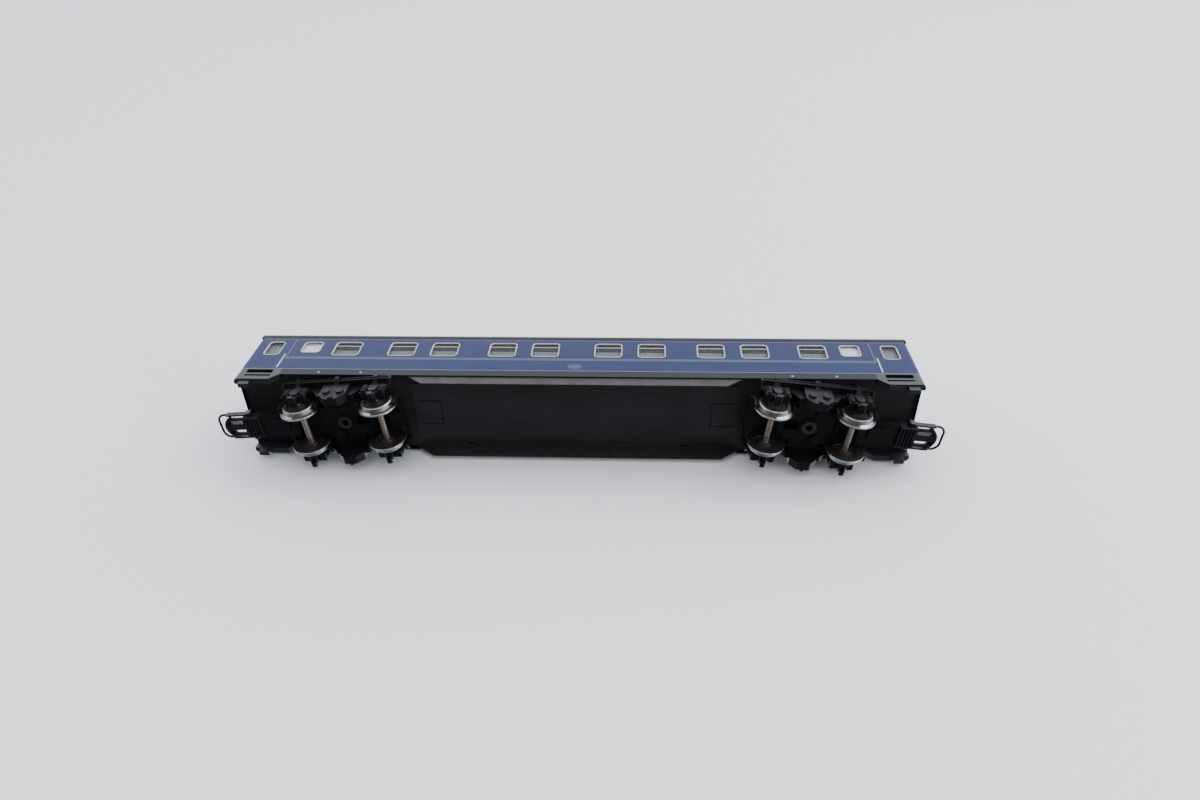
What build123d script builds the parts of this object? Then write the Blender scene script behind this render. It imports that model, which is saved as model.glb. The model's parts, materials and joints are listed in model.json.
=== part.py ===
from build123d import *
from math import asin, degrees
import os

os.makedirs("parts", exist_ok=True)

# ---------------------------------------------------------------------------
# Passenger coach for 16.5 mm gauge track, in millimetres.
# +X runs along the coach, -Y is its near side, +Z is up. The origin is under
# the middle of the coach, in the plane that the wheel flanges stand on.
# ---------------------------------------------------------------------------

# Wheels and track
tread_radius = 5.5
flange_radius = 6.8
rail_head = flange_radius - tread_radius
axle_height = flange_radius
back_to_back = 14.0
wheel_width = 2.7
wheel_inner_face = back_to_back / 2
wheel_outer_face = wheel_inner_face + wheel_width

# Levels of the body, each given above the rail head
solebar_bottom = rail_head + 12.6
side_colour_bottom = rail_head + 16.0
skirt_bottom = rail_head + 8.3
step_bottom = rail_head + 9.5
floor_bottom = rail_head + 13.8
window_bottom = rail_head + 25.2
eaves = rail_head + 37.0
roof_top = rail_head + 46.5

# Body shell
body_length = 238.0
body_width = 33.0
sheet = 0.4
corner_radius = 1.5
window_width = 10.2
window_height = 9.4
window_corner = 1.6
window_middle = window_bottom + window_height / 2
compartment_windows = (11.4, 27.0, 48.2, 63.8, 84.3)
lavatory_window = 97.7
lavatory_width = 7.4
lavatory_height = 7.6
door_window = 111.6
door_window_width = 6.2
lavatory_middle = window_bottom + window_height - lavatory_height / 2

# Bogies: distance between pivots, wheelbase, and how each stands at rest
pivot_spacing = 163.0
wheelbase = 28.0
left_bogie_yaw = -4.5
right_bogie_yaw = 6.5

fit = 0.05          # radial clearance of every running fit
seat = 0.05         # clearance between parts that are fixed side by side

half_length = body_length / 2
half_width = body_width / 2
inside_width = half_width - sheet


def export(piece, name):
    """Label a finished piece and write it as its own STEP file."""
    piece.label = name
    export_step(piece, f"parts/{name}.step")


# ---------------------------------------------------------------------------
# Door steps: a block under each corner door, let into the side of the body
# ---------------------------------------------------------------------------
step_depth = 2.3
step_start = 103.5
step_bevel = 3.2
step_slot_start = 106.5
step_slot_length = 9.3
step_slot_depth = 1.7
upper_slot = (rail_head + 13.4, 2.1)     # bottom level and height of each slot
lower_slot = (rail_head + 11.5, 0.85)
lug_start = 113.0
lug_length = 3.7
lug_height = 2.3
lug_inset = 0.6
step_inner_face = half_width - step_depth

with BuildPart() as door_step:
    with BuildSketch(Plane.XZ.offset(step_inner_face)):
        with BuildLine():
            Polyline(
                (step_start, side_colour_bottom),
                (half_length, side_colour_bottom),
                (half_length, step_bottom),
                (step_start + step_bevel, step_bottom),
                (step_start, solebar_bottom),
                close=True,
            )
        make_face()
    extrude(amount=step_depth)
    with BuildSketch(Plane.XZ.offset(step_inner_face)):
        with Locations((lug_start + lug_length / 2, step_bottom - lug_height / 2)):
            Rectangle(lug_length, lug_height)
    extrude(amount=step_depth - lug_inset)
    fillet(
        door_step.edges().filter_by(Axis.Z).group_by(Axis.X)[-1].sort_by(Axis.Y)[0],
        radius=corner_radius,
    )
    with BuildSketch(Plane.XZ.offset(half_width)):
        for level, height in (upper_slot, lower_slot):
            with Locations((step_slot_start + step_slot_length / 2, level + height / 2)):
                Rectangle(step_slot_length, height)
    extrude(amount=-step_slot_depth, mode=Mode.SUBTRACT)

right_near_step = door_step.part
left_near_step = mirror(right_near_step, about=Plane.YZ)
export(right_near_step, "door_step_right_near")
export(left_near_step, "door_step_left_near")
export(mirror(right_near_step, about=Plane.XZ), "door_step_right_far")
export(mirror(left_near_step, about=Plane.XZ), "door_step_left_far")

# ---------------------------------------------------------------------------
# Body shell: sides and ends folded from one sheet
# ---------------------------------------------------------------------------
doorway_width = 8.4
doorway_bottom = rail_head + 17.0
doorway_top = rail_head + 36.0
doorway_height = doorway_top - doorway_bottom
doorway_middle = (doorway_top + doorway_bottom) / 2

with BuildPart() as body_shell:
    with BuildSketch(Plane.XY.offset(solebar_bottom)):
        RectangleRounded(body_length, body_width, corner_radius)
        RectangleRounded(
            body_length - 2 * sheet, body_width - 2 * sheet, corner_radius - sheet, mode=Mode.SUBTRACT
        )
    extrude(amount=eaves - solebar_bottom)
    with BuildSketch(Plane.XZ):
        for side in (-1, 1):
            for x in compartment_windows:
                with Locations((side * x, window_middle)):
                    RectangleRounded(window_width, window_height, window_corner)
            with Locations((side * lavatory_window, lavatory_middle)):
                RectangleRounded(lavatory_width, lavatory_height, window_corner)
            with Locations((side * door_window, window_middle)):
                RectangleRounded(door_window_width, window_height, window_corner)
    extrude(amount=body_width, both=True, mode=Mode.SUBTRACT)
    with BuildSketch(Plane.YZ):
        with Locations((0, doorway_middle)):
            Rectangle(doorway_width, doorway_height)
    extrude(amount=body_length, both=True, mode=Mode.SUBTRACT)
    with BuildSketch(Plane.XY.offset(solebar_bottom)):
        with GridLocations(body_length + step_start, body_width + step_inner_face, 2, 2):
            Rectangle(body_length - step_start, body_width - step_inner_face)
    extrude(amount=side_colour_bottom - solebar_bottom, mode=Mode.SUBTRACT)
export(body_shell.part, "body_shell")

# ---------------------------------------------------------------------------
# Roof: shoulders and crown of two tangent arcs, drooping at both ends
# ---------------------------------------------------------------------------
roof_rise = roof_top - eaves
shoulder_radius = 7.0
roof_thickness = 0.8
gable_rise = 3.0
droop_length = 18.0


def roof_form(inset):
    """The solid under the roof's surface, moved inwards by the inset."""
    reach = half_width - inset
    rise = roof_rise - inset
    shoulder = shoulder_radius - inset
    flat = reach - shoulder
    crown = (flat**2 + rise**2 - shoulder**2) / (2 * (rise - shoulder))
    turn = degrees(asin((crown - rise) / (crown - shoulder)))
    end = half_length - inset
    with BuildPart() as form:
        with BuildSketch(Plane.YZ):
            with BuildLine():
                CenterArc((flat, eaves), shoulder, 0, turn)
                CenterArc((0, eaves + rise - crown), crown, turn, 180 - 2 * turn)
                CenterArc((-flat, eaves), shoulder, 180 - turn, turn)
                Line((-reach, eaves), (reach, eaves))
            make_face()
        extrude(amount=body_length, both=True)
        with BuildSketch(Plane.XZ):
            with BuildLine():
                Polyline((end, eaves + gable_rise), (end, eaves), (-end, eaves), (-end, eaves + gable_rise))
                for side, start_angle in ((1, 0), (-1, 90)):
                    arc_centre = (side * (end - droop_length), eaves + gable_rise)
                    EllipticalCenterArc(
                        arc_centre, droop_length, rise - gable_rise, start_angle=start_angle, arc_size=90
                    )
                Line((end - droop_length, eaves + rise), (droop_length - end, eaves + rise))
            make_face()
        extrude(amount=body_width, both=True, mode=Mode.INTERSECT)
    return form.part


with BuildPart() as roof:
    add(roof_form(0))
    add(roof_form(roof_thickness), mode=Mode.SUBTRACT)
export(roof.part, "roof")

# ---------------------------------------------------------------------------
# Glazing strips behind the sides, and the frosted lavatory panes behind them
# ---------------------------------------------------------------------------
glazing_thickness = 0.6
glazing_length = 232.0
glazing_height = 12.6
glazing_face = inside_width - seat
pane_thickness = 0.4
pane_margin = 0.8
pane_rise = 2.0

with BuildPart() as glazing:
    with BuildSketch(Plane.XZ.offset(glazing_face - glazing_thickness)):
        with Locations((0, window_middle)):
            Rectangle(glazing_length, glazing_height)
    extrude(amount=glazing_thickness)
export(glazing.part, "glazing_near")
export(mirror(glazing.part, about=Plane.XZ), "glazing_far")

pane_face = glazing_face - glazing_thickness - seat

with BuildPart() as lavatory_panes:
    for face in (-pane_face, pane_face - pane_thickness):
        with BuildSketch(Plane.XZ.offset(-face)):
            with Locations((-lavatory_window, lavatory_middle), (lavatory_window, lavatory_middle)):
                Rectangle(lavatory_width + 2 * pane_margin, lavatory_height + 2 * pane_rise)
        extrude(amount=-pane_thickness)
export(lavatory_panes.part, "lavatory_panes")

# ---------------------------------------------------------------------------
# Floor pan: a sheet whose middle is pressed down into a flat field between the
# bogies, with a skirt along each side, two latch tongues and four tab slots
# ---------------------------------------------------------------------------
floor_thickness = 0.5
skirt_thickness = 0.45
skirt_half_length = 52.5
skirt_slope = 5.6 / (solebar_bottom - skirt_bottom)
skirt_top_half = skirt_half_length + skirt_slope * (floor_bottom - skirt_bottom)
floor_half_width = inside_width - seat
floor_end_half_width = step_inner_face - 2 * seat
field_half_length = 58.0
field_half_width = 12.3
field_depth = 0.4
field_bottom = floor_bottom - field_depth
tongue_start = 47.6
tongue_end = 56.2
tongue_width = 10.4
tongue_end_slot = 0.8
tongue_side_slot = 0.35
tab_slot_place = (39.3, 14.1)
tab_slot_size = (2.7, 1.1)
pivot_radius = 1.7

with BuildPart() as floor_pan:
    with BuildSketch(Plane.XY.offset(floor_bottom)):
        Rectangle(2 * (step_start - 2 * seat), 2 * floor_half_width)
        Rectangle(2 * (half_length - sheet - seat), 2 * floor_end_half_width)
    extrude(amount=floor_thickness)
    with BuildSketch(Plane.XY.offset(field_bottom)):
        Rectangle(2 * field_half_length, 2 * field_half_width)
    extrude(amount=floor_thickness)
    with BuildSketch(Plane.XY.offset(field_bottom + floor_thickness)):
        Rectangle(2 * (field_half_length - floor_thickness), 2 * (field_half_width - floor_thickness))
    extrude(amount=floor_thickness, mode=Mode.SUBTRACT)
    for outer_face in (floor_half_width, skirt_thickness - floor_half_width):
        with BuildSketch(Plane.XZ.offset(outer_face)):
            with BuildLine():
                Polyline(
                    (-skirt_top_half, floor_bottom),
                    (skirt_top_half, floor_bottom),
                    (skirt_half_length, skirt_bottom),
                    (-skirt_half_length, skirt_bottom),
                    close=True,
                )
            make_face()
        extrude(amount=-skirt_thickness)
    with BuildSketch(Plane.XY.offset(field_bottom)):
        with Locations((-pivot_spacing / 2, 0), (pivot_spacing / 2, 0)):
            Circle(pivot_radius)
        with GridLocations(2 * tab_slot_place[0], 2 * tab_slot_place[1], 2, 2):
            Rectangle(*tab_slot_size)
        for side in (-1, 1):
            with Locations((side * (tongue_start + tongue_end) / 2, 0)):
                Rectangle(tongue_end - tongue_start, tongue_width)
            with Locations((side * (tongue_start + tongue_end_slot + tongue_end) / 2, 0)):
                Rectangle(
                    tongue_end - tongue_start - tongue_end_slot,
                    tongue_width - 2 * tongue_side_slot,
                    mode=Mode.SUBTRACT,
                )
    extrude(amount=field_depth + floor_thickness, mode=Mode.SUBTRACT)
export(floor_pan.part, "floor_pan")

# ---------------------------------------------------------------------------
# Interior fitting: tray floor, low side walls, corridor wall, compartments
# ---------------------------------------------------------------------------
tray_bottom = rail_head + 14.9
tray_floor = 1.0
tray_half_length = 91.0
tray_half_width = 14.6
tray_wall = 1.0
tray_wall_top = window_bottom + 0.66 * window_height
partition_top = rail_head + 35.5
partition_thickness = 0.8
corridor_wall = 5.5
partition_places = (0.0, 19.2, 37.6, 56.0, 74.1)
berth_level = rail_head + 20.0
berth_depth = 6.0

with BuildPart() as interior_fitting:
    with BuildSketch(Plane.XY.offset(tray_bottom)):
        Rectangle(2 * tray_half_length, 2 * tray_half_width)
    extrude(amount=tray_wall_top - tray_bottom)
    with BuildSketch(Plane.XY.offset(tray_bottom + tray_floor)):
        Rectangle(2 * (tray_half_length - tray_wall), 2 * (tray_half_width - tray_wall))
    extrude(amount=tray_wall_top - tray_bottom, mode=Mode.SUBTRACT)
    with BuildSketch(Plane.XY.offset(tray_bottom)):
        with Locations((0, corridor_wall)):
            Rectangle(2 * tray_half_length, partition_thickness)
        for side in (-1, 1):
            for x in partition_places:
                with Locations((side * x, (corridor_wall - tray_half_width) / 2)):
                    Rectangle(partition_thickness, corridor_wall + tray_half_width)
    extrude(amount=partition_top - tray_bottom)
    with BuildSketch(Plane.XY.offset(tray_bottom)):
        for side in (-1, 1):
            for x in partition_places[1:]:
                with Locations((side * (x - berth_depth / 2), (corridor_wall - tray_half_width) / 2)):
                    Rectangle(berth_depth, corridor_wall + tray_half_width)
    extrude(amount=berth_level - tray_bottom)
export(interior_fitting.part, "interior_fitting")

# ---------------------------------------------------------------------------
# Gangways: ribbed bellows frame with a closed door set back in it
# ---------------------------------------------------------------------------
gangway_projection = 1.2
gangway_width = 11.0
gangway_height = 21.4
gangway_wall = 1.5
rib_groove = 0.35
gangway_corner = 1.0
door_recess = 0.3
door_thickness = 1.1

with BuildPart() as gangway:
    with BuildSketch(Plane.YZ.offset(half_length)):
        with Locations((0, doorway_middle)):
            RectangleRounded(gangway_width, gangway_height, gangway_corner)
            Rectangle(gangway_width - 2 * gangway_wall, gangway_height - 2 * gangway_wall, mode=Mode.SUBTRACT)
    extrude(amount=gangway_projection)
    with BuildSketch(Plane.YZ.offset(half_length + gangway_projection / 2 - rib_groove / 2)):
        with Locations((0, doorway_middle)):
            Rectangle(gangway_width + gangway_corner, gangway_height + gangway_corner)
            Rectangle(gangway_width - 2 * rib_groove, gangway_height - 2 * rib_groove, mode=Mode.SUBTRACT)
    extrude(amount=rib_groove, mode=Mode.SUBTRACT)
    with BuildSketch(Plane.YZ.offset(half_length + door_recess)):
        with Locations((0, doorway_middle)):
            Rectangle(doorway_width - 2 * seat, doorway_height - 2 * seat)
    extrude(amount=-door_thickness)
export(gangway.part, "gangway_right")
export(mirror(gangway.part, about=Plane.YZ), "gangway_left")

# ---------------------------------------------------------------------------
# Bogies. Every piece is made about the pivot axis, with its drawbar towards
# +X, and is then placed at both ends of the coach.
# ---------------------------------------------------------------------------
bogie_places = {
    "left": Location((-pivot_spacing / 2, 0, 0), (0, 0, 180 + left_bogie_yaw)),
    "right": Location((pivot_spacing / 2, 0, 0), (0, 0, right_bogie_yaw)),
}
side_names = {"left": {1: "near", -1: "far"}, "right": {1: "far", -1: "near"}}


def export_on_bogies(piece, name):
    """Write one copy of a piece for each bogie."""
    for end, place in bogie_places.items():
        export(piece.moved(place), f"{name}_{end}")


def export_on_bogie_sides(piece, name):
    """Write a piece made at +Y, and its mirror image, for each bogie."""
    for end, place in bogie_places.items():
        for side, side_name in side_names[end].items():
            handed = piece if side == 1 else mirror(piece, about=Plane.XZ)
            export(handed.moved(place), f"{name}_{end}_{side_name}")


# Bogie frame
frame_bottom = axle_height + 2.0
frame_top = axle_height + 4.4
frame_corner = 0.8
spine_half_width = 6.2
spine_inner_end = -18.5
spine_outer_end = 20.0
bolster_half_length = 5.4
side_frame_inner = 11.2
boss_radius = 3.4
boss_top = floor_bottom - 0.2
boss_bottom = axle_height + 1.5
window_start = 4.0
window_length = 4.4
window_half_width = 2.0
shoe_gap = 0.45
shoe_length = 1.2
shoe_inner = 8.4
shoe_width = 1.2
shoe_half_height = 2.1
shoe_line = shoe_inner + shoe_width / 2
brake_bar_length = 1.3
brake_bar_height = 1.4
bolster_bar_length = 3.7
end_plate_size = 6.0
small_boss_place = (3.2, 5.2)
small_boss_radius = 1.9
small_boss_drop = 0.7
drawbar_end = 31.0
drawbar_half_width = 4.2
drawbar_root = spine_outer_end - 3.0
drawbar_root_half_width = 5.2
drawbar_bottom = rail_head + 7.2
drawbar_top = rail_head + 9.4
drawbar_pad_place = spine_outer_end + 3.6
drawbar_pad_size = (6.0, 5.6)
pad_drop = 0.6
overlap = 0.5       # how far pieces of one moulding run into each other
rib_places = (-16.4, -10.4, 9.4, 17.6)
rib_length = 0.9
rib_half_width = 5.6
axle_offset = wheelbase / 2
shoe_places = [
    axle_offset + direction * (tread_radius + shoe_gap + shoe_length / 2) for direction in (-1, 1)
]

with BuildPart() as bogie_frame:
    with BuildSketch(Plane.XY.offset(frame_bottom)):
        with Locations(((spine_inner_end + spine_outer_end) / 2, 0)):
            Rectangle(spine_outer_end - spine_inner_end, 2 * spine_half_width)
        Rectangle(2 * bolster_half_length, 2 * side_frame_inner)
    extrude(amount=frame_top - frame_bottom)
    fillet(bogie_frame.edges().filter_by(Axis.Z), radius=frame_corner)
    # drawbar, tapering from the spine to the coupler housing, and its pad
    with BuildSketch(Plane.XY.offset(drawbar_bottom)):
        with BuildLine():
            Polyline(
                (drawbar_root, drawbar_root_half_width),
                (drawbar_end, drawbar_half_width),
                (drawbar_end, -drawbar_half_width),
                (drawbar_root, -drawbar_root_half_width),
                close=True,
            )
        make_face()
    extrude(amount=drawbar_top - drawbar_bottom)
    with BuildSketch(Plane.XY.offset(drawbar_bottom - pad_drop)):
        with Locations((drawbar_pad_place, 0)):
            RectangleRounded(*drawbar_pad_size, frame_corner)
    extrude(amount=pad_drop + overlap)
    # stiffening ribs across the underside
    with BuildSketch(Plane.XY.offset(frame_bottom - overlap)):
        for x in rib_places:
            with Locations((x, 0)):
                Rectangle(rib_length, 2 * rib_half_width)
    extrude(amount=2 * overlap)
    # pivot boss
    with BuildSketch(Plane.XY.offset(boss_bottom)):
        Circle(boss_radius)
    extrude(amount=boss_top - boss_bottom)
    # brake bars across the spine and the shoes on both sides of each wheel
    with BuildSketch(Plane.XY.offset(frame_bottom)):
        with GridLocations(0, 2 * shoe_line, 1, 2):
            Rectangle(2 * shoe_places[0], shoe_width)
        for end in (-1, 1):
            with Locations((end * (shoe_places[1] + frame_corner), 0)):
                Rectangle(brake_bar_length, 2 * (shoe_inner + shoe_width))
            with Locations((end * (bolster_half_length + bolster_bar_length / 2), 0)):
                Rectangle(bolster_bar_length, 2 * spine_half_width)
        with Locations((spine_inner_end - end_plate_size / 6, 0)):
            Rectangle(end_plate_size, end_plate_size)
    extrude(amount=brake_bar_height)
    with BuildSketch(Plane.XY.offset(axle_height - shoe_half_height)):
        for x in shoe_places:
            with GridLocations(2 * x, 2 * shoe_line, 2, 2):
                Rectangle(shoe_length, shoe_width)
    extrude(amount=frame_bottom - axle_height + shoe_half_height + brake_bar_height)
    # small round bosses beside the pivot, then the pivot hole and contact window
    with BuildSketch(Plane.XY.offset(frame_bottom - small_boss_drop)):
        with Locations(small_boss_place, (small_boss_place[0], -small_boss_place[1])):
            Circle(small_boss_radius)
    extrude(amount=small_boss_drop + overlap)
    with BuildSketch(Plane.XY.offset(boss_bottom - 1)):
        with Locations((-window_start - window_length / 2, 0)):
            Rectangle(window_length, 2 * window_half_width)
        Circle(pivot_radius + fit)
    extrude(amount=boss_top, mode=Mode.SUBTRACT)
export_on_bogies(bogie_frame.part, "bogie_frame")

# Bogie side frame: beam, axle boxes between coil springs, middle spring unit,
# and three leaning brackets that carry two rods along the top
beam_thickness = 1.6
beam_end = 19.4
beam_top = axle_height + 4.6
beam_bottom = axle_height + 2.6
beam_dip = axle_height - 0.4
dip_half_length = 6.2
dip_slope = 2.2
box_radius = 1.5
box_front = side_frame_inner + 3.6
pedestal_width = 2.8
pedestal_bottom = axle_height - 3.4
pedestal_top = axle_height + 4.0
pedestal_front = side_frame_inner + 3.0
pedestal_corner = 0.6
journal_radius = 0.8
journal_end = side_frame_inner + 1.0
journal_play = 0.15
foot_width = 2.0
foot_height = 1.6
foot_front = side_frame_inner + 4.0
foot_bottom = axle_height - 4.3
spring_radius = 1.25
spring_groove = 0.3
spring_offset = 3.0
spring_bottom = axle_height - 1.5
spring_turns = 5
spring_pitch = (beam_bottom - spring_bottom) / spring_turns
spring_line = side_frame_inner + 2.3
spring_seat_height = 0.8
spring_seat_corner = 0.3
spring_seat_width = 2 * (spring_offset + spring_radius)
spring_places = [
    (axle + offset, spring_line)
    for axle in (-axle_offset, axle_offset)
    for offset in (-spring_offset, spring_offset)
]
unit_half_length = 4.7
unit_foot_half_length = 2.2
unit_shoulder = axle_height - 1.9
unit_bottom = axle_height - 4.5
unit_front = side_frame_inner + 3.1
cap_offset = 2.4
cap_height = axle_height - 0.2
cap_radius = 1.35
cap_front = side_frame_inner + 3.8
rod_radius = 0.35
rod_line = side_frame_inner + 4.0
rod_heights = (axle_height + 4.9, axle_height + 6.1)
bracket_width = 1.6
bracket_front = side_frame_inner + 4.9
bracket_top = axle_height + 6.7
bracket_shoulder = axle_height + 5.4
end_bracket_width = 0.7

with BuildPart() as side_frame:
    with BuildSketch(Plane.XZ.offset(-side_frame_inner)):
        with BuildLine():
            Polyline(
                (-beam_end, beam_bottom),
                (-beam_end, beam_top),
                (beam_end, beam_top),
                (beam_end, beam_bottom),
                (dip_half_length + dip_slope, beam_bottom),
                (dip_half_length, beam_dip),
                (-dip_half_length, beam_dip),
                (-dip_half_length - dip_slope, beam_bottom),
                close=True,
            )
        make_face()
    extrude(amount=-beam_thickness)
    # middle spring unit, narrowing to its foot, with two round caps and a button
    with BuildSketch(Plane.XZ.offset(-side_frame_inner)):
        with BuildLine():
            Polyline(
                (-unit_half_length, beam_top),
                (unit_half_length, beam_top),
                (unit_half_length, unit_shoulder),
                (unit_foot_half_length, unit_bottom),
                (-unit_foot_half_length, unit_bottom),
                (-unit_half_length, unit_shoulder),
                close=True,
            )
        make_face()
    extrude(amount=side_frame_inner - unit_front)
    with BuildSketch(Plane.XZ.offset(-unit_front + overlap)):
        with Locations((-cap_offset, cap_height), (cap_offset, cap_height)):
            Circle(cap_radius)
        with Locations((0, unit_bottom + foot_height / 2)):
            Circle(foot_height / 2)
    extrude(amount=unit_front - cap_front - overlap)
    # pedestals, spring seats above and below the springs, axle boxes and feet
    with BuildSketch(Plane.XZ.offset(-side_frame_inner)):
        for x in (-axle_offset, axle_offset):
            with Locations((x, (pedestal_bottom + pedestal_top) / 2)):
                RectangleRounded(pedestal_width, pedestal_top - pedestal_bottom, pedestal_corner)
            with Locations((x, spring_bottom), (x, beam_bottom)):
                RectangleRounded(spring_seat_width, spring_seat_height, spring_seat_corner)
    extrude(amount=side_frame_inner - pedestal_front)
    with BuildSketch(Plane.XZ.offset(-side_frame_inner)):
        with Locations((-axle_offset, axle_height), (axle_offset, axle_height)):
            Circle(box_radius)
    extrude(amount=side_frame_inner - box_front)
    with BuildSketch(Plane.XZ.offset(-pedestal_front + 2 * overlap)):
        for x in (-axle_offset, axle_offset):
            with Locations((x, foot_bottom + foot_height / 2)):
                RectangleRounded(foot_width, foot_height, pedestal_corner)
    extrude(amount=pedestal_front - foot_front - 2 * overlap)
    # leaning brackets, the rods that run through them, and the end brackets
    bracket_root = side_frame_inner + beam_thickness / 2
    for x in (-axle_offset, 0, axle_offset):
        with BuildSketch(Plane.YZ.offset(x - bracket_width / 2)):
            with BuildLine():
                Polyline(
                    (bracket_root, beam_bottom),
                    (side_frame_inner + beam_thickness, beam_bottom),
                    (bracket_front, bracket_shoulder),
                    (bracket_front, bracket_top),
                    (rod_line - rod_radius, bracket_top),
                    (bracket_root, beam_top),
                    close=True,
                )
            make_face()
        extrude(amount=bracket_width)
    with BuildSketch(Plane.YZ.offset(-beam_end)):
        for height in rod_heights:
            with Locations((rod_line, height)):
                Circle(rod_radius)
    extrude(amount=2 * beam_end)
    for x in (-beam_end, beam_end - end_bracket_width):
        with BuildSketch(Plane.YZ.offset(x)):
            with BuildLine():
                Polyline(
                    (bracket_root, beam_bottom),
                    (side_frame_inner + beam_thickness, beam_bottom),
                    (rod_line + rod_radius, rod_heights[0] - rod_radius),
                    (rod_line + rod_radius, rod_heights[1] + rod_radius),
                    (rod_line - rod_radius, rod_heights[1] + rod_radius),
                    (bracket_root, beam_top),
                    close=True,
                )
            make_face()
        extrude(amount=end_bracket_width)
    # coil springs, moulded as stacked turns on a core
    with BuildSketch(Plane.XY.offset(spring_bottom)):
        with Locations(*spring_places):
            Circle(spring_radius - spring_groove)
    extrude(amount=beam_bottom - spring_bottom)
    for turn in range(spring_turns):
        with BuildSketch(Plane.XY.offset(spring_bottom + (turn + 0.25) * spring_pitch)):
            with Locations(*spring_places):
                Circle(spring_radius)
        extrude(amount=spring_pitch / 2)
    # blind bearing holes for the axle journals
    with BuildSketch(Plane.XZ.offset(-side_frame_inner)):
        with Locations((-axle_offset, axle_height), (axle_offset, axle_height)):
            Circle(journal_radius + fit)
    extrude(amount=side_frame_inner - journal_end - journal_play, mode=Mode.SUBTRACT)
export_on_bogie_sides(side_frame.part, "bogie_side")

# Hollow pivot rivet through the floor pan and the bogie boss
rivet_bore = 1.2
rivet_flange = 2.6
rivet_head = 0.4
rivet_shoulder = boss_bottom - 0.15

with BuildPart() as pivot_rivet:
    with BuildSketch(Plane.XZ):
        with BuildLine():
            Polyline(
                (rivet_bore, rivet_shoulder - rivet_head),
                (rivet_flange, rivet_shoulder - rivet_head),
                (rivet_flange, rivet_shoulder),
                (pivot_radius, rivet_shoulder),
                (pivot_radius, floor_bottom + floor_thickness),
                (rivet_flange, floor_bottom + floor_thickness),
                (rivet_flange, floor_bottom + floor_thickness + rivet_head),
                (rivet_bore, floor_bottom + floor_thickness + rivet_head),
                close=True,
            )
        make_face()
    revolve(axis=Axis.Z)
export_on_bogies(pivot_rivet.part, "pivot_rivet")

# Brass contact leaf under the floor, over the left bogie's frame window
leaf_start = 4.2 - pivot_spacing / 2
leaf_length = 5.5
leaf_width = 3.6
leaf_thickness = 0.3
leaf_riser = 0.5
leaf_drop = 1.0
leaf_foot_length = 2.6
leaf_bottom = floor_bottom - leaf_drop - leaf_thickness
riser_start = leaf_start + leaf_length - leaf_riser
low_corner = (Align.MIN, Align.MIN)

with BuildPart() as contact_leaf:
    with BuildSketch(Plane.XZ.offset(-leaf_width / 2)):
        with Locations((leaf_start, leaf_bottom)):
            Rectangle(leaf_length, leaf_thickness, align=low_corner)
        with Locations((riser_start, leaf_bottom)):
            Rectangle(leaf_riser, leaf_drop + leaf_thickness, align=low_corner)
        with Locations((riser_start, floor_bottom - leaf_thickness)):
            Rectangle(leaf_foot_length, leaf_thickness, align=low_corner)
    extrude(amount=leaf_width)
export(contact_leaf.part, "contact_leaf")

# ---------------------------------------------------------------------------
# Wheelsets: axle, two tyres and two wheel centres, made about the axle's line
# ---------------------------------------------------------------------------
axle_radius = 1.0
rim_inner_radius = 4.2
hub_radius = 2.1

with BuildPart() as axle:
    with BuildSketch(Plane.XY):
        with BuildLine():
            Polyline(
                (0, -journal_end),
                (journal_radius - 0.3, -journal_end),
                (journal_radius, 0.3 - journal_end),
                (journal_radius, -wheel_outer_face - 0.2),
                (axle_radius, -wheel_outer_face - 0.2),
                (axle_radius, wheel_outer_face + 0.2),
                (journal_radius, wheel_outer_face + 0.2),
                (journal_radius, journal_end - 0.3),
                (journal_radius - 0.3, journal_end),
                (0, journal_end),
                close=True,
            )
        make_face()
    revolve(axis=Axis.Y)

with BuildPart() as tyre:
    with BuildSketch(Plane.XY):
        with BuildLine():
            Polyline(
                (rim_inner_radius, wheel_inner_face),
                (flange_radius - 0.45, wheel_inner_face),
            )
            ThreePointArc(
                (flange_radius - 0.45, wheel_inner_face),
                (flange_radius, wheel_inner_face + 0.4),
                (flange_radius - 0.35, wheel_inner_face + 0.75),
            )
            Polyline(
                (flange_radius - 0.35, wheel_inner_face + 0.75),
                (tread_radius + 0.15, wheel_inner_face + 1.05),
                (tread_radius - 0.05, wheel_outer_face - 0.3),
                (tread_radius - 0.35, wheel_outer_face),
                (rim_inner_radius, wheel_outer_face),
                (rim_inner_radius, wheel_inner_face),
            )
        make_face()
    revolve(axis=Axis.Y)

with BuildPart() as wheel_centre:
    with BuildSketch(Plane.XY):
        with BuildLine():
            Polyline(
                (axle_radius, wheel_inner_face - 0.1),
                (hub_radius, wheel_inner_face - 0.1),
                (hub_radius + 0.3, wheel_inner_face + 0.9),
                (rim_inner_radius - 0.5, wheel_inner_face + 0.9),
                (rim_inner_radius, wheel_inner_face + 0.3),
                (rim_inner_radius, wheel_outer_face - 0.2),
                (rim_inner_radius - 0.5, wheel_outer_face - 0.8),
                (hub_radius + 0.2, wheel_outer_face - 0.8),
                (hub_radius, wheel_outer_face - 0.1),
                (axle_radius, wheel_outer_face - 0.1),
                close=True,
            )
        make_face()
    revolve(axis=Axis.Y)

for end, place in bogie_places.items():
    for offset, axle_name in ((axle_offset, "outer"), (-axle_offset, "inner")):
        wheelset_place = place * Location((offset, 0, axle_height))
        export(axle.part.moved(wheelset_place), f"axle_{end}_{axle_name}")
        for side, side_name in side_names[end].items():
            for piece, name in ((tyre.part, "tyre"), (wheel_centre.part, "wheel_centre")):
                handed = piece if side == 1 else mirror(piece, about=Plane.XZ)
                export(handed.moved(wheelset_place), f"{name}_{end}_{axle_name}_{side_name}")

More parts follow.
